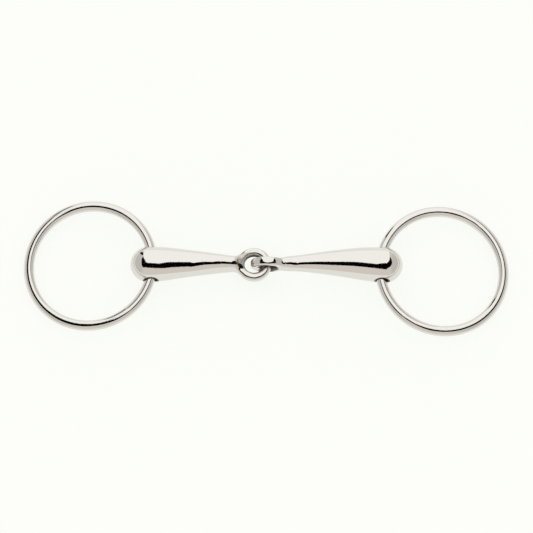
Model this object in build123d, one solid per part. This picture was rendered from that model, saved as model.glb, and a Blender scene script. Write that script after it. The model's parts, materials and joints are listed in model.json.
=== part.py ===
from build123d import *
import math
import os

# Loose-ring, hollow-mouth snaffle bit with one joint in the middle, lying on a flat surface.
# Millimetres. X runs along the mouthpiece, Y across it, and Z up from the surface.
# The origin is on the surface, under the middle of the whole bit.

# Rings
ring_inside_diameter = 66.7
ring_wire_diameter = 6.0

# Ring holes, one across the wide end of each half of the mouthpiece
hole_half_span = 67.05
sleeve_bore_radius = 4.1
sleeve_outer_radius = 5.2
sleeve_half_length = 7.9
sleeve_running_clearance = 0.05
collar_start = 6.4
mouth_radius = 4.25
mouth_flare = 0.2

# Where each ring's centre hangs, from its hole: outwards in the ring's own plane, and across in Y
left_ring_reach = 35.7
left_ring_drift = 0.4
right_ring_reach = 35.35
right_ring_drift = -2.4

# Hollow cannon: a round dome, a gently arched crown and a straight taper
cannon_radius = 10.25
cannon_wall = 1.2
dome_overhang = 12.1
crown_arc_radius = 140.0
taper_slope = 0.135
weld_from_hole = 40.0

# Solid neck: a spigot inside the cannon, the rest of the taper, and a stem that carries the eye
spigot_length = 5.0
spigot_radius = 4.6
neck_radius = 4.2
neck_end_from_eye = 6.5

# Eyes: two linked round-wire loops, the left one lying flat and the right one upright
eye_mean_radius = 7.55
eye_wire_radius = 2.65
eye_seat_clearance = 0.05
left_arm = 59.7
right_arm = 65.45

# Height of the mouthpiece's axis above the surface
mouth_axis_height = 10.3

ring_wire_radius = ring_wire_diameter / 2
ring_mean_radius = ring_inside_diameter / 2 + ring_wire_radius


def ring_dip(reach):
    """Angle by which a ring slopes down from its hole until its far edge rests on the surface."""
    return math.asin((mouth_axis_height - ring_wire_radius) / (reach + ring_mean_radius))


def outer_edge(reach):
    """Distance from the middle of the mouthpiece to the outermost point of a ring."""
    level_reach = (reach + ring_mean_radius) * math.cos(ring_dip(reach))
    return hole_half_span + level_reach + ring_wire_radius


# The middle of the mouthpiece sits where the whole bit's outline is centred on the origin.
mouth_middle_x = (outer_edge(left_ring_reach) - outer_edge(right_ring_reach)) / 2
mouth_axis_y = -(left_ring_drift + right_ring_drift) / 2
mouth_middle = Pos(mouth_middle_x, mouth_axis_y, mouth_axis_height)

# Each half is drawn from its ring hole, with +X towards the middle joint.
left_half = mouth_middle * Pos(-hole_half_span, 0, 0)
right_half = mouth_middle * Pos(hole_half_span, 0, 0) * Rot(0, 0, 180)

# Turns an upright piece so that it lies across the mouthpiece
across = Rot(90, 0, 0)

dome_centre = cannon_radius - dome_overhang
taper_angle = math.atan(taper_slope)
crown_end_x = dome_centre + crown_arc_radius * math.sin(taper_angle)
crown_end_radius = cannon_radius - crown_arc_radius * (1 - math.cos(taper_angle))


def taper_radius(distance):
    """Outside radius of the straight taper, at a distance from the ring hole."""
    return crown_end_radius - (distance - crown_end_x) * taper_slope


def cannon_body(inset):
    """The cannon's outer form, or its cavity when inset by the wall, as far as the weld."""
    square_inset = inset / math.cos(taper_angle)
    tip = (dome_centre - cannon_radius + inset, 0)
    top = (dome_centre, cannon_radius - inset)
    dome = RadiusArc(tip, top, cannon_radius - inset)
    crown_end = (
        crown_end_x - inset * math.sin(taper_angle),
        crown_end_radius - inset * math.cos(taper_angle),
    )
    crown = RadiusArc(top, crown_end, crown_arc_radius - inset)
    weld_edge = (weld_from_hole, taper_radius(weld_from_hole) - square_inset)
    sides = Polyline(crown_end, weld_edge, (weld_from_hole, 0), tip)
    outline = make_face(Wire([dome, crown, *sides.edges()]))
    return revolve(outline, Axis.X)


def cannon():
    """Closed hollow cannon. Two collars inside its wide end hold the ring's sleeve under flared mouths."""
    seat_radius = sleeve_outer_radius + sleeve_running_clearance
    seat_half_length = sleeve_half_length + sleeve_running_clearance
    beyond = 2 * cannon_radius
    mouth_length = beyond - seat_half_length
    collars = Cylinder(seat_radius + cannon_wall, 2 * beyond)
    collars -= Cylinder(seat_radius + cannon_wall, 2 * collar_start)
    shell = cannon_body(0) - cannon_body(cannon_wall)
    shell += (across * collars) & cannon_body(0)
    shell -= across * Cylinder(seat_radius, 2 * seat_half_length)
    mouth = Cone(mouth_radius, mouth_radius + mouth_flare * mouth_length, mouth_length)
    mouth = Pos(0, 0, seat_half_length + mouth_length / 2) * mouth
    shell -= across * mouth
    shell -= across * Rot(180, 0, 0) * mouth
    return shell


def sleeve():
    """Tube across the cannon that lines the ring's hole."""
    tube = Cylinder(sleeve_outer_radius, 2 * sleeve_half_length)
    tube -= Cylinder(sleeve_bore_radius, 2 * sleeve_half_length)
    return across * tube


def eye(extra=0.0):
    """Round-wire loop in the XY plane, fattened by extra where it is used to cut its seat."""
    return Torus(eye_mean_radius, eye_wire_radius + extra)


def neck(arm, eye_turn, seat_clearance):
    """Solid neck from the weld to the eye, with a saddle that the eye's wire sits in."""
    spigot_start = weld_from_hole - spigot_length
    stem_start = crown_end_x + (crown_end_radius - neck_radius) / taper_slope
    stem_end = arm - neck_end_from_eye
    corners = [
        (spigot_start, 0),
        (spigot_start, spigot_radius),
        (weld_from_hole, spigot_radius),
        (weld_from_hole, taper_radius(weld_from_hole)),
        (stem_start, neck_radius),
        (stem_end, neck_radius),
        (stem_end, 0),
    ]
    stem = revolve(make_face(Polyline(*corners, close=True)), Axis.X)
    return stem - Pos(arm, 0, 0) * eye_turn * eye(seat_clearance)


def ring(reach, drift):
    """Plain round-wire ring, sloping from its hole down to the surface."""
    slope = Rot(0, -math.degrees(ring_dip(reach)), 0)
    return slope * Pos(-reach, drift, 0) * Torus(ring_mean_radius, ring_wire_radius)


flat = Rot(0, 0, 0)

nodes = {
    "left_cannon": left_half * cannon(),
    "left_neck": left_half * neck(left_arm, flat, 0.0),
    "left_eye": left_half * Pos(left_arm, 0, 0) * flat * eye(),
    "left_ring_sleeve": left_half * sleeve(),
    "left_ring": left_half * ring(left_ring_reach, left_ring_drift),
    "right_cannon": right_half * cannon(),
    "right_neck": right_half * neck(right_arm, across, eye_seat_clearance),
    "right_eye": right_half * Pos(right_arm, 0, 0) * across * eye(),
    "right_ring_sleeve": right_half * sleeve(),
    "right_ring": right_half * ring(right_ring_reach, -right_ring_drift),
}

os.makedirs("parts", exist_ok=True)
for name, solid in nodes.items():
    export_step(solid, f"parts/{name}.step")
    print(f"{name:18s} {solid.volume:9.1f} mm3")
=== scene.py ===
import json
import math

import bmesh
import bpy
import numpy as np
from mathutils import Matrix, Vector


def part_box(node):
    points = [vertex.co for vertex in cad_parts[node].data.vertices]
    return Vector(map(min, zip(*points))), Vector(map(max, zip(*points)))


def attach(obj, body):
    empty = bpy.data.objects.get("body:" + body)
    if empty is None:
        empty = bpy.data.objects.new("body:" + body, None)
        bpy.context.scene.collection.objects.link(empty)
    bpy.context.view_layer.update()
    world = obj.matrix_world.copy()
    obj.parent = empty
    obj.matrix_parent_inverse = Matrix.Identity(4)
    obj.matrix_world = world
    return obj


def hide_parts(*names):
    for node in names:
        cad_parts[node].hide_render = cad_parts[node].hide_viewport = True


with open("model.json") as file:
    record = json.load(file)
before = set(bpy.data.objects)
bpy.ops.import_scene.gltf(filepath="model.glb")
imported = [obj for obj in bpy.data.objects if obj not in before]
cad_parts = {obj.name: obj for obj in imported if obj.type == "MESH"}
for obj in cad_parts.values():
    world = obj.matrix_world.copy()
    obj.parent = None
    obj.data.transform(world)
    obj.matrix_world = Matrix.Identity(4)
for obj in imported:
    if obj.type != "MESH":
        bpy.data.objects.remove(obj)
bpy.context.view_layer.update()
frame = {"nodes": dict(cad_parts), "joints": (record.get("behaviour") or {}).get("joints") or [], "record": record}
joints = {joint["name"]: joint for joint in frame["joints"]}
mounts = {mount["name"]: mount for mount in frame["record"]["mounts"]}

# Everything is in metres. Each half of the mouthpiece is worked out in its own coordinates, from
# its ring hole with +X towards the middle joint, as the CAD draws it.
TAPER_SLOPE = 0.135
NECK_RADIUS = 0.0042
NECK_END_FROM_EYE = {"left": 0.0095, "right": 0.0037}
SEAT_RADIUS = 0.00525
SEAT_HALF_LENGTH = 0.00795

# The ring hole's mouths. They are so narrow that the right ring's wire runs about 0.3 mm into the
# metal, and the left one barely clears it.
MOUTH_RADIUS = 0.0037
MOUTH_FLARE = 0.12

# The halves differ a little: how round each crown is, and how far each half bows
CROWN_ARC = {"left": 0.100, "right": 0.130}
BOW = {"left": 0.00075, "right": 0.00125}
BOW_START = 0.004

# Height of each neck's section over its width, which grows from round, and what the right neck
# gains on top of that as it rises to its upright eye
OVAL_FROM = 0.022
OVAL_TO = 0.042
NECK_OVAL = {"left": 1.33, "right": 1.04}
RISE_FROM = 0.048
RISE_TO = 0.061
NECK_RISE = {"left": 0.0, "right": 0.4}

# Oval eyes: half the outline's size along the bit and across it, then half the opening's.
# The left eye lies flat, so across is Y. The right one stands up, so across is Z.
EYE_SHAPES = {
    "left": ((0.0102, 0.0102), (0.0054, 0.0050)),
    "right": ((0.0102, 0.0080), (0.0053, 0.0046)),
}

# How far the right eye stands towards the far side, and how much further it reaches into the left
RIGHT_EYE_SHIFT = 0.0004
RIGHT_EYE_REACH = 0.0009

# Power of the eye wire's section, where 2 is round
EYE_SQUARENESS = {"left": 2.2, "right": 2.7}

# Softness of the polished edges and fillets
STEM_BLEND = 0.0012
EYE_BLEND = {"left": 0.0035, "right": 0.002}
NECK_END_BLEND = {"left": 0.002, "right": 0.008}
MOUTH_BLEND = 0.0005

# Shallow flats round the ring's wire, with their depth as a share of its radius
WIRE_FLATS = 8
FLAT_DEPTH = 0.011

# Mesh fineness
GRID_STEP = 0.00033
MARGIN_CELLS = 3
RELAX_ROUNDS = 3
LEAST_STEEPNESS = 0.2
CUT_MERGE = 1e-7
RING_STEPS = 480
WIRE_STEPS = 64

# Metal that mirrors the studio: a warm, slightly dull white
STEEL_COLOUR = (0.755, 0.735, 0.705, 1)
STEEL_ROUGHNESS = 0.03
STEEL_SHADE = (0.745, 0.725, 0.695, 1)
# Grey-brown painted on the left eye's upper inner wire: painted shade, on wire that is also rougher there
DULL_SHADE_COLOUR = (0.62, 0.59, 0.54, 1)
# Near-black spots where the left neck meets its eye: painted shadow
PAINTED_SHADOW_COLOUR = (0.03, 0.028, 0.024, 1)
# Dark brown painted inside the eyes, in the ring holes and on patches where the eyes meet: painted shade
PAINTED_SHADE_COLOUR = (0.15, 0.13, 0.105, 1)

# The uneven polish: patches, slow waves, and hairline scratches in two directions
PATCH_SCALE = 260.0
WAVE_SCALE = 45.0
WAVE_HEIGHT = 0.00007
SCRATCH_STRETCH = (90, 5200, 5200)
SCRATCH_TURNS = ((0.1, 0.2, 0.25), (0.4, -0.3, 2.1))
SCRATCH_EDGE = (0.66, 0.72)
SCRATCH_HEIGHT = 1.5e-6

# What each adds to the metal's roughness
PATCH_ROUGHNESS = 0.03
SCRATCH_ROUGHNESS = 0.12
DULL_ROUGHNESS = 0.3
RECESS_ROUGHNESS = 0.4

# Soft oval patches of painted shade and painted shadow on the eyes: middle from the eye's centre, half sizes, and
# turn about Z
# The first two are painted shade where the two eyes meet
LEFT_SHADE_PATCH = ((0.0034, -0.0032, 0.0), (0.0028, 0.0017, 0.0026), 0.8)
RIGHT_SHADE_PATCH = ((-0.0020, 0.0, -0.0045), (0.0068, 0.004, 0.0032), 0.0)
SHADOW_SPOT_AT_NECK = ((-0.0111, -0.0005, 0.002), (0.0018, 0.0011, 0.02), -0.2)
SHADOW_SPOT_AT_WIRE = ((-0.0077, -0.0017, 0.002), (0.0022, 0.0014, 0.02), -0.7)
DULL_SHADED_PATCH = ((-0.0030, 0.0021, 0.0), (0.0084, 0.0052, 0.02), 0.0)
MARK_EDGE = (0.8, 1.05)

wire_radius = mounts["left_rein_loop"]["dims"]["r_mm"] / 1000


def joint_point(name):
    return np.array(joints[name]["pos_m"])


def node_size(node):
    low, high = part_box(node)
    return np.array(high - low)


cannon_radius = node_size("left_cannon")[2] / 2
eye_wire = node_size("left_eye")[2] / 2
eye_mean = node_size("left_eye")[0] / 2 - eye_wire
ring_mean = node_size("left_ring")[1] / 2 - wire_radius
holes = {side: joint_point(f"{side}_ring_swing") for side in ("left", "right")}
eyes = {"left": joint_point("joint_sideways"), "right": joint_point("joint_fold")}
arms = {side: abs(eyes[side][0] - holes[side][0]) for side in ("left", "right")}
dome_overhang = holes["left"][0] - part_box("left_cannon")[0][0]
weld_from_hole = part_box("left_cannon")[1][0] - holes["left"][0]
dome_centre = cannon_radius - dome_overhang
taper_angle = math.atan(TAPER_SLOPE)


# Surfaces as distance fields: below zero inside the metal, above zero outside.


def smooth_max(a, b, blend):
    """The larger of two fields, with the corner between them rounded."""
    overlap = np.maximum(blend - np.abs(a - b), 0) / blend
    return np.maximum(a, b) + overlap**2 * blend / 4


def smooth_min(a, b, blend):
    return -smooth_max(-a, -b, blend)


def cannon_field(x, across, crown_arc):
    """Dome, arched crown, straight taper and stem, as one turned form about the X axis."""
    dome = np.hypot(x - dome_centre, across) - cannon_radius
    crown_middle = cannon_radius - crown_arc
    crown = np.hypot(x - dome_centre, across - crown_middle) - crown_arc
    crown_end = dome_centre + crown_arc * math.sin(taper_angle)
    crown_end_radius = crown_middle + crown_arc * math.cos(taper_angle)
    taper = crown_end_radius - (x - crown_end) * TAPER_SLOPE
    stem = smooth_max(taper, np.full_like(taper, NECK_RADIUS), STEM_BLEND)
    slender = (across - stem) * math.cos(taper_angle)
    return np.where(x < dome_centre, dome, np.where(x < crown_end, crown, slender))


def bowed(x, y, side):
    """Y measured from the half's centre line, which bows a little towards the far side."""
    outwards = -1 if side == "right" else 1
    along = (x + np.hypot(x, BOW_START)) / 2 / arms[side]
    return y - outwards * BOW[side] * 4 * along * (1 - along)


def eye_field(along, across, thickness, side):
    """Oval wire loop whose hole runs along the thickness direction."""
    radius = np.hypot(along, across)
    share = (across / np.maximum(radius, 1e-6)) ** 2
    outline, opening = EYE_SHAPES[side]
    outer, inner = (
        1 / np.sqrt((1 - share) / half_along**2 + share / half_across**2)
        for half_along, half_across in (outline, opening)
    )
    half_width = (outer - inner) / 2
    radial = (radius - (outer + inner) / 2) * eye_wire / half_width
    power = EYE_SQUARENESS[side]
    return (np.abs(radial) ** power + np.abs(thickness) ** power) ** (1 / power) - eye_wire


def ring_hole_field(x, y, z):
    """The hole across the wide end: a seat for the sleeve, and a flared mouth at each side."""
    from_axis = np.hypot(x, z)
    depth = np.abs(y) - SEAT_HALF_LENGTH
    seat = np.maximum(from_axis - SEAT_RADIUS, depth)
    flare = MOUTH_RADIUS + MOUTH_FLARE * np.maximum(depth, 0)
    return np.minimum(seat, from_axis - flare)


def smooth_step(value, start, end):
    share = np.clip((value - start) / (end - start), 0, 1)
    return share**2 * (3 - 2 * share)


def neck_oval(x, side):
    """Height of the section over its width."""
    oval = (NECK_OVAL[side] - 1) * smooth_step(x, OVAL_FROM, OVAL_TO)
    return 1 + oval + NECK_RISE[side] * smooth_step(x, RISE_FROM, RISE_TO)


def half_field(side):
    """One half of the mouthpiece, cannon, neck and eye, as one polished form."""
    arm = arms[side]

    def field(points):
        x, y, z = points.T
        tall = z / neck_oval(x, side)
        body = cannon_field(x, np.hypot(bowed(x, y, side), tall), CROWN_ARC[side])
        body = smooth_max(body, x - (arm - NECK_END_FROM_EYE[side]), NECK_END_BLEND[side])
        body = smooth_max(body, -ring_hole_field(x, y, z), MOUTH_BLEND)
        if side == "right":
            eye = eye_field(x - arm - RIGHT_EYE_REACH, z, y + RIGHT_EYE_SHIFT, side)
        else:
            eye = eye_field(x - arm, y, z, side)
        return smooth_min(body, eye, EYE_BLEND[side])

    return field


# Meshing a field


def slopes(field, points, reach=2e-6):
    """The field's gradient at each point."""
    sides = []
    for axis in range(3):
        shift = np.zeros(3)
        shift[axis] = reach
        sides.append((field(points + shift) - field(points - shift)) / (2 * reach))
    return np.stack(sides, 1)


def settle(field, points, rounds=4):
    """Moves points onto the surface where the field is zero."""
    for _ in range(rounds):
        slope = slopes(field, points)
        steep = np.maximum((slope**2).sum(1), LEAST_STEEPNESS)
        points = points - slope * (field(points) / steep)[:, None]
    return points


def crossed_cells(value):
    """Cells of the grid that the surface passes through, and the middle of their edge crossings."""
    inside = value < 0
    size = np.array(value.shape) - 1
    total = np.zeros((*size, 3))
    count = np.zeros(size)
    for axis in range(3):
        others = [a for a in range(3) if a != axis]
        for step_a in (0, 1):
            for step_b in (0, 1):
                low = [slice(0, n) for n in size]
                low[others[0]] = slice(step_a, step_a + size[others[0]])
                low[others[1]] = slice(step_b, step_b + size[others[1]])
                high = list(low)
                high[axis] = slice(1, 1 + size[axis])
                start, end = value[tuple(low)], value[tuple(high)]
                crossing = inside[tuple(low)] != inside[tuple(high)]
                share = np.where(crossing, start / np.where(crossing, start - end, 1), 0)
                offset = np.zeros((*size, 3))
                offset[..., axis] = share
                offset[..., others[0]] = step_a
                offset[..., others[1]] = step_b
                total += offset * crossing[..., None]
                count += crossing
    cells = np.argwhere(count > 0)
    return cells, total[tuple(cells.T)] / count[tuple(cells.T)][:, None]


def net_quads(value, cells):
    """One quad round each grid edge that the surface crosses, facing outwards."""
    inside = value < 0
    number = np.full(np.array(value.shape) - 1, -1)
    number[tuple(cells.T)] = np.arange(len(cells))
    quads = []
    for axis in range(3):
        b, c = (axis + 1) % 3, (axis + 2) % 3
        at = np.argwhere(np.diff(inside, axis=axis))
        corners = []
        for step_b, step_c in ((0, 0), (-1, 0), (-1, -1), (0, -1)):
            near = at.copy()
            near[:, b] += step_b
            near[:, c] += step_c
            corners.append(number[tuple(near.T)])
        turn = np.stack(corners, 1)
        outward = inside[tuple(at.T)]
        quads.append(np.where(outward[:, None], turn, turn[:, ::-1]))
    return np.concatenate(quads)


def relaxed(field, points, quads, rounds):
    """Evens out the mesh by moving each vertex towards its neighbours, then back onto the surface."""
    edges = np.concatenate([quads[:, [i, (i + 1) % 4]] for i in range(4)])
    for _ in range(rounds):
        total = np.zeros_like(points)
        count = np.zeros(len(points))
        np.add.at(total, edges[:, 0], points[edges[:, 1]])
        np.add.at(count, edges[:, 0], 1)
        points = settle(field, (points + total / count[:, None]) / 2, 2)
    return points


def meshed(field, low, high):
    """Vertices and quads of the surface inside a box."""
    lines = [np.arange(a, b + GRID_STEP, GRID_STEP) for a, b in zip(low, high)]
    grid = np.stack(np.meshgrid(*lines, indexing="ij"), -1)
    value = field(grid.reshape(-1, 3)).reshape(grid.shape[:3])
    cells, offsets = crossed_cells(value)
    points = settle(field, np.array(low) + (cells + offsets) * GRID_STEP)
    quads = net_quads(value, cells)
    return relaxed(field, points, quads, RELAX_ROUNDS), quads


# Blender objects


def add_piece(name, mesh, body, node, steel):
    """Puts a mesh in the scene as the steel piece that stands for a CAD node."""
    piece = bpy.data.objects.new(name, mesh)
    bpy.context.scene.collection.objects.link(piece)
    piece.data.materials.append(steel)
    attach(piece, body)
    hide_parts(node)


def cut_length(points, quads, start, end):
    """The part of a form between two X planes, closed by flat caps."""
    form = bmesh.new()
    corners = [form.verts.new(point) for point in points.tolist()]
    for quad in quads.tolist():
        form.faces.new([corners[i] for i in quad])
    for plane, outwards in ((start, -1), (end, 1)):
        if plane is None:
            continue
        cut = bmesh.ops.bisect_plane(
            form,
            geom=form.verts[:] + form.edges[:] + form.faces[:],
            dist=CUT_MERGE,
            plane_co=(plane, 0, 0),
            plane_no=(outwards, 0, 0),
            clear_outer=True,
        )
        rim = [item for item in cut["geom_cut"] if isinstance(item, bmesh.types.BMEdge)]
        bmesh.ops.holes_fill(form, edges=rim, sides=0)
    return form


def half_mesh(name, form, field, caps, turn, hole):
    """Mesh of a cut form, shaded with the surface's own slopes, and with flat caps."""
    mesh = bpy.data.meshes.new(name)
    form.to_mesh(mesh)
    form.free()
    points = np.zeros(len(mesh.vertices) * 3)
    mesh.vertices.foreach_get("co", points)
    points = points.reshape(-1, 3)
    facing = slopes(field, points)
    facing /= np.linalg.norm(facing, axis=1)[:, None]
    corner_vertex = np.zeros(len(mesh.loops), int)
    mesh.loops.foreach_get("vertex_index", corner_vertex)
    normals = facing[corner_vertex]
    for face in mesh.polygons:
        if any(abs(face.center.x - cap) < CUT_MERGE for cap in caps if cap is not None):
            normals[list(face.loop_indices)] = face.normal
    mesh.vertices.foreach_set("co", (points * turn + hole).ravel())
    mesh.update()
    mesh.shade_smooth()
    mesh.normals_split_custom_set((normals * turn).tolist())
    return mesh


def half_of_mouthpiece(side):
    """Meshes one half and cuts it into its cannon, its neck and its eye."""
    field = half_field(side)
    margin = MARGIN_CELLS * GRID_STEP
    reach = cannon_radius + margin
    low = (-dome_overhang - margin, -reach, -reach)
    high = (arms[side] + eye_mean + eye_wire + margin, reach, reach)
    points, quads = meshed(field, low, high)
    turn = np.array([-1.0, -1.0, 1.0]) if side == "right" else np.ones(3)
    eye_start = arms[side] - eye_mean - eye_wire / 2
    lengths = {
        "cannon": (None, weld_from_hole),
        "neck": (weld_from_hole, eye_start),
        "eye": (eye_start, None),
    }
    for part, (start, end) in lengths.items():
        name = f"{side}_{part}_polished"
        form = cut_length(points, quads, start, end)
        mesh = half_mesh(name, form, field, (start, end), turn, holes[side])
        add_piece(name, mesh, f"{side}_half", f"{side}_{part}", polished_steel(side))


def tube_of_turns(rows):
    """Quads joining rows of points, closed both ways."""
    count, around = rows.shape[:2]
    index = np.arange(count * around).reshape(count, around)
    ahead = np.roll(index, -1, 0)
    quads = np.stack([index, ahead, np.roll(ahead, -1, 1), np.roll(index, -1, 1)], -1)
    return quads.reshape(-1, 4)


def ring(side):
    """Ring of slightly flattened round wire about its turning axis."""
    centre = joint_point(f"{side}_ring_turn")
    axis = Vector(joints[f"{side}_ring_turn"]["axis"])
    tilt = np.array(axis.to_track_quat("Z", "Y").to_matrix())
    turn = np.linspace(0, 2 * math.pi, RING_STEPS, endpoint=False)[:, None]
    roll = np.linspace(0, 2 * math.pi, WIRE_STEPS, endpoint=False)[None, :]
    section = wire_radius * (1 - FLAT_DEPTH * np.cos(WIRE_FLATS * roll))
    reach = ring_mean + section * np.cos(roll)
    rows = np.stack(
        [reach * np.cos(turn), reach * np.sin(turn), section * np.sin(roll) + 0 * turn], -1
    )
    points = rows.reshape(-1, 3) @ tilt.T + centre
    mesh = bpy.data.meshes.new(f"{side}_ring_polished")
    mesh.from_pydata(points.tolist(), [], tube_of_turns(rows).tolist())
    mesh.shade_smooth()
    add_piece(f"{side}_ring_polished", mesh, f"{side}_ring", f"{side}_ring", polished_steel("ring"))


class Nodes:
    """Shorthand for building a material's node tree."""

    def __init__(self, material):
        material.use_nodes = True
        self.tree = material.node_tree
        self.shader = self.tree.nodes["Principled BSDF"]

    def add(self, kind, settings=None, **inputs):
        """A node with its settings, its input values and its incoming links."""
        node = self.tree.nodes.new(f"ShaderNode{kind}")
        for key, value in (settings or {}).items():
            setattr(node, key, value)
        for key, value in inputs.items():
            socket = node.inputs[int(key[1:]) if key[1:].isdigit() else key.replace("_", " ")]
            if isinstance(value, bpy.types.NodeSocket):
                self.tree.links.new(value, socket)
            else:
                socket.default_value = value
        return node

    def math(self, operation, a, b=0.0):
        return self.add("Math", {"operation": operation}, _0=a, _1=b).outputs[0]

    def ramp(self, value, start, end, low=0.0, high=1.0):
        """Smooth change from low to high while the value goes from start to end."""
        settings = {"interpolation_type": "SMOOTHSTEP"}
        limits = {"From_Min": start, "From_Max": end, "To_Min": low, "To_Max": high}
        return self.add("MapRange", settings, Value=value, **limits).outputs[0]

    def noise(self, place, scale, detail=2.0):
        return self.add("TexNoise", Vector=place, Scale=scale, Detail=detail).outputs["Fac"]

    def stretched(self, place, turn, scale):
        return self.add("Mapping", Vector=place, Rotation=turn, Scale=scale).outputs[0]


def recess(nodes, place, centre, hole_along, radii, reach):
    """Painted shade round a hole's axis: full within the first radius, none past the second or far along."""
    offset = nodes.add("VectorMath", {"operation": "SUBTRACT"}, _0=place, _1=tuple(centre))
    depth = (0, 0, 1) if hole_along == "Z" else (0, 1, 0)
    flat = tuple(1 - share for share in depth)
    lengths = []
    for keep in (flat, depth):
        kept = nodes.add("VectorMath", {"operation": "MULTIPLY"}, _0=offset.outputs[0], _1=keep)
        size = nodes.add("VectorMath", {"operation": "LENGTH"}, _0=kept.outputs[0])
        lengths.append(size.outputs["Value"])
    inside = nodes.ramp(lengths[0], *radii, 1.0, 0.0)
    near = nodes.ramp(lengths[1], *reach, 1.0, 0.0)
    return nodes.math("MULTIPLY", inside, near)


def blotch(nodes, place, side, mark):
    """Soft oval mark on one half's eye."""
    shift, sizes, angle = mark
    middle = eyes[side] + np.array(shift)
    offset = nodes.add("VectorMath", {"operation": "SUBTRACT"}, _0=place, _1=tuple(middle))
    rotation = {"rotation_type": "Z_AXIS"}
    turned = nodes.add("VectorRotate", rotation, Vector=offset.outputs[0], Angle=-angle)
    scale = tuple(1 / size for size in sizes)
    oval = nodes.add("VectorMath", {"operation": "MULTIPLY"}, _0=turned.outputs[0], _1=scale)
    reach = nodes.add("VectorMath", {"operation": "LENGTH"}, _0=oval.outputs[0]).outputs["Value"]
    return nodes.ramp(reach, *MARK_EDGE, 1.0, 0.0)


def highest(nodes, shares):
    top = shares[0]
    for share in shares[1:]:
        top = nodes.math("MAXIMUM", top, share)
    return top


def painted_shade_in_recesses(nodes, place, side):
    """Painted shade inside the half's eye and in its ring hole, and on one soft patch of the eye."""
    eye_radii = (eye_mean - 0.95 * eye_wire, eye_mean - 0.6 * eye_wire)
    eye_reach = (1.1 * eye_wire, 1.5 * eye_wire)
    hole_radii = (MOUTH_RADIUS + 0.0008, MOUTH_RADIUS + 0.0012)
    hole_reach = (cannon_radius, 1.1 * cannon_radius)
    hole_along = {"left": "Z", "right": "Y"}[side]
    shares = [
        recess(nodes, place, eyes[side], hole_along, eye_radii, eye_reach),
        recess(nodes, place, holes[side], "Y", hole_radii, hole_reach),
    ]
    patch = {"left": LEFT_SHADE_PATCH, "right": RIGHT_SHADE_PATCH}[side]
    shares.append(blotch(nodes, place, side, patch))
    return highest(nodes, shares)


def painted_shadow_spots(nodes, place):
    """Near-black spots of painted shadow beside the left eye's dull patch."""
    marks = (SHADOW_SPOT_AT_NECK, SHADOW_SPOT_AT_WIRE)
    return highest(nodes, [blotch(nodes, place, "left", mark) for mark in marks])


def scratches(nodes, place, turn):
    """Height of hairline scratches that run one way."""
    streaks = nodes.noise(nodes.stretched(place, turn, SCRATCH_STRETCH), 1.0, 1.0)
    return nodes.ramp(streaks, *SCRATCH_EDGE)


def polished_steel(part):
    """Polished stainless steel of the rings or of one half, which adds its own painted shade."""
    name = f"{part} steel"
    if name in bpy.data.materials:
        return bpy.data.materials[name]
    material = bpy.data.materials.new(name)
    nodes = Nodes(material)
    mix = {"data_type": "RGBA"}
    place = nodes.add("TexCoord").outputs["Object"]
    patches = nodes.noise(place, PATCH_SCALE, 3.0)
    hairlines = highest(nodes, [scratches(nodes, place, turn) for turn in SCRATCH_TURNS])
    roughest = STEEL_ROUGHNESS + PATCH_ROUGHNESS
    polish = nodes.ramp(patches, 0.35, 0.75, STEEL_ROUGHNESS, roughest)
    roughness = nodes.math("ADD", polish, nodes.math("MULTIPLY", hairlines, SCRATCH_ROUGHNESS))
    colour = nodes.add("Mix", mix, Factor=patches, A=STEEL_COLOUR, B=STEEL_SHADE).outputs["Result"]
    if part == "left":
        # The left eye's upper inner wire: rougher polish, with its colour darkened as painted shade
        dull_and_shaded = blotch(nodes, place, "left", DULL_SHADED_PATCH)
        colour = nodes.add("Mix", mix, Factor=dull_and_shaded, A=colour, B=DULL_SHADE_COLOUR).outputs["Result"]
        roughness = nodes.math("ADD", roughness, nodes.math("MULTIPLY", dull_and_shaded, DULL_ROUGHNESS))
        # Near-black spots of painted shadow beside that patch
        dark = painted_shadow_spots(nodes, place)
        colour = nodes.add("Mix", mix, Factor=dark, A=colour, B=PAINTED_SHADOW_COLOUR).outputs["Result"]
    if part in eyes:
        # Dark brown painted into the eye's opening, the ring hole and a patch at the joint: painted shade
        painted_shade = painted_shade_in_recesses(nodes, place, part)
        painted_shade = nodes.math("MULTIPLY", painted_shade, nodes.ramp(patches, 0.2, 0.5, 0.8, 1.0))
        colour = nodes.add("Mix", mix, Factor=painted_shade, A=colour, B=PAINTED_SHADE_COLOUR).outputs["Result"]
        roughness = nodes.math("ADD", roughness, nodes.math("MULTIPLY", painted_shade, RECESS_ROUGHNESS))
    waves = nodes.add("Bump", Distance=WAVE_HEIGHT, Height=nodes.noise(place, WAVE_SCALE, 1.0))
    marks = nodes.add("Bump", Distance=SCRATCH_HEIGHT, Height=hairlines, Normal=waves.outputs[0])
    links = nodes.tree.links
    nodes.shader.inputs["Metallic"].default_value = 1.0
    links.new(colour, nodes.shader.inputs["Base Color"])
    links.new(roughness, nodes.shader.inputs["Roughness"])
    links.new(marks.outputs[0], nodes.shader.inputs["Normal"])
    return material


def stage_material(name, reflectance, glow):
    """Matt sheet that scatters a share of the light and glows by itself."""
    material = bpy.data.materials.new(name)
    material.use_nodes = True
    shader = material.node_tree.nodes["Principled BSDF"]
    shader.inputs["Base Color"].default_value = (reflectance, reflectance, reflectance, 1)
    shader.inputs["Roughness"].default_value = 1.0
    shader.inputs["Specular IOR Level"].default_value = 0.0
    shader.inputs["Emission Color"].default_value = (*glow, 1)
    shader.inputs["Emission Strength"].default_value = 1.0
    return material


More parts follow.
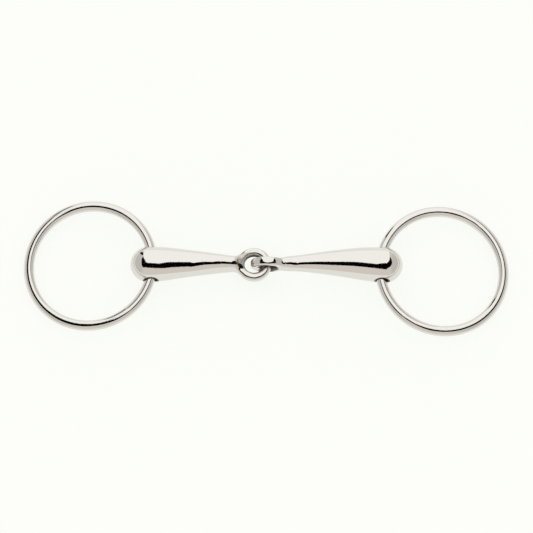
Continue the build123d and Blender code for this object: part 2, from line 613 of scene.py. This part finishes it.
def camera():
    """The camera stands above the near side, almost over the bit."""
    from_vertical = math.radians(17.46)
    azimuth = math.radians(-0.48)
    roll = math.radians(0.608)
    distance = 1.3508
    target = Vector((0.00018, 0.00323, 0))
    data = bpy.data.cameras.new("camera")
    data.sensor_width = 36
    data.lens = 155.79
    data.clip_end = 20
    back = Vector(
        (
            math.sin(from_vertical) * math.sin(azimuth),
            -math.sin(from_vertical) * math.cos(azimuth),
            math.cos(from_vertical),
        )
    )
    side = Vector((math.cos(azimuth), math.sin(azimuth), 0))
    up = back.cross(side)
    right = side * math.cos(roll) + up * math.sin(roll)
    above = up * math.cos(roll) - side * math.sin(roll)
    basis = Matrix((right, above, back)).transposed().to_4x4()
    viewer = bpy.data.objects.new("camera", data)
    viewer.matrix_world = Matrix.Translation(target + back * distance) @ basis
    bpy.context.scene.collection.objects.link(viewer)
    bpy.context.scene.camera = viewer


def stage_sheet(name, corners, material):
    """Flat sheet of the studio. Only reflections show it, unless it is the floor."""
    mesh = bpy.data.meshes.new(name)
    mesh.from_pydata(corners, [], [range(len(corners))])
    sheet = bpy.data.objects.new(name, mesh)
    sheet.data.materials.append(material)
    sheet.visible_camera = False
    sheet.visible_diffuse = False
    sheet.visible_shadow = False
    bpy.context.scene.collection.objects.link(sheet)
    return sheet


def beige_walls():
    """Room light from low down: beige in front and behind, greyer at the two ends."""
    beige = (0.80, 0.755, 0.70, 1)
    greyer = (0.665, 0.645, 0.60, 1)
    world = bpy.data.worlds.new("studio")
    world.use_nodes = True
    nodes = world.node_tree.nodes
    link = world.node_tree.links.new
    direction = nodes.new("ShaderNodeTexCoord")
    split = nodes.new("ShaderNodeSeparateXYZ")
    sideways = nodes.new("ShaderNodeMath")
    sideways.operation = "ABSOLUTE"
    share = nodes.new("ShaderNodeMapRange")
    share.interpolation_type = "SMOOTHSTEP"
    share.inputs["From Min"].default_value = 0.35
    share.inputs["From Max"].default_value = 0.75
    blend = nodes.new("ShaderNodeMix")
    blend.data_type = "RGBA"
    blend.inputs["A"].default_value = beige
    blend.inputs["B"].default_value = greyer
    link(direction.outputs["Generated"], split.inputs["Vector"])
    link(split.outputs["X"], sideways.inputs[0])
    link(sideways.outputs["Value"], share.inputs["Value"])
    link(share.outputs["Result"], blend.inputs["Factor"])
    link(blend.outputs["Result"], nodes["Background"].inputs["Color"])
    bpy.context.scene.world = world


def studio():
    """Glowing floor, white panels above and behind, and black sheets that give the dark bands."""
    bpy.context.scene.view_settings.view_transform = "Standard"
    beige_walls()
    half = 4.0
    panel_height = 0.7
    hood_height = 0.705
    gap_height = 1.2
    above_floor = 0.001
    floor_glow = (0.755, 0.775, 0.745)
    panel_glow = (1.15, 1.145, 1.125)
    corners = [(-half, -half, 0), (half, -half, 0), (half, half, 0), (-half, half, 0)]
    floor = stage_sheet("floor", corners, stage_material("pale floor", 0.3, floor_glow))
    floor.visible_camera = True
    floor.visible_diffuse = True
    white = stage_material("white panel", 0.0, panel_glow)
    black = stage_material("black card", 0.0, (0.0, 0.0, 0.0))
    panel_edge = [
        (-0.60, 1.05), (-0.52, 0.78), (-0.46, 0.55), (-0.42, 0.40), (-0.33, 0.25), (-0.25, 0.10),
        (-0.18, -0.04), (-0.12, -0.06), (-0.05, -0.11), (0.02, -0.17), (0.06, -0.09), (0.11, -0.05),
        (0.14, -0.09), (0.22, 0.0), (0.30, 0.08), (0.39, 0.22), (0.45, 0.42), (0.50, 0.68),
        (0.60, 1.05),
    ]
    stage_sheet("top_panel", [(x, y, panel_height) for x, y in panel_edge], white)
    back = [
        (-0.60, 1.05, panel_height), (0.60, 1.05, panel_height),
        (0.36, 1.15, above_floor), (-0.36, 1.15, above_floor),
    ]
    stage_sheet("back_panel", back, white)
    hood = [
        (-0.50, 0.65), (-0.58, 0.50), (-0.64, 0.30), (-0.66, -0.32), (-0.60, -0.52), (-0.45, -0.56),
        (-0.20, -0.50), (-0.05, -0.60), (0.05, -0.69), (0.13, -0.74), (0.20, -0.66), (0.27, -0.55),
        (0.38, -0.48), (0.50, -0.40), (0.64, -0.22), (0.72, 0.02), (0.66, 0.35), (0.56, 0.60),
        (0.48, 0.62),
    ]
    stage_sheet("dark_hood", [(x, y, hood_height) for x, y in hood], black)
    gap = [
        (-1.24, 1.58, above_floor), (-0.88, 1.80, above_floor),
        (-0.88, 1.80, gap_height), (-1.24, 1.58, gap_height),
    ]
    stage_sheet("dark_gap", gap, black)


studio()
camera()
for side in ("left", "right"):
    half_of_mouthpiece(side)
    ring(side)
    sleeve = frame["nodes"][f"{side}_ring_sleeve"]
    sleeve.data.materials.clear()
    sleeve.data.materials.append(polished_steel(side))
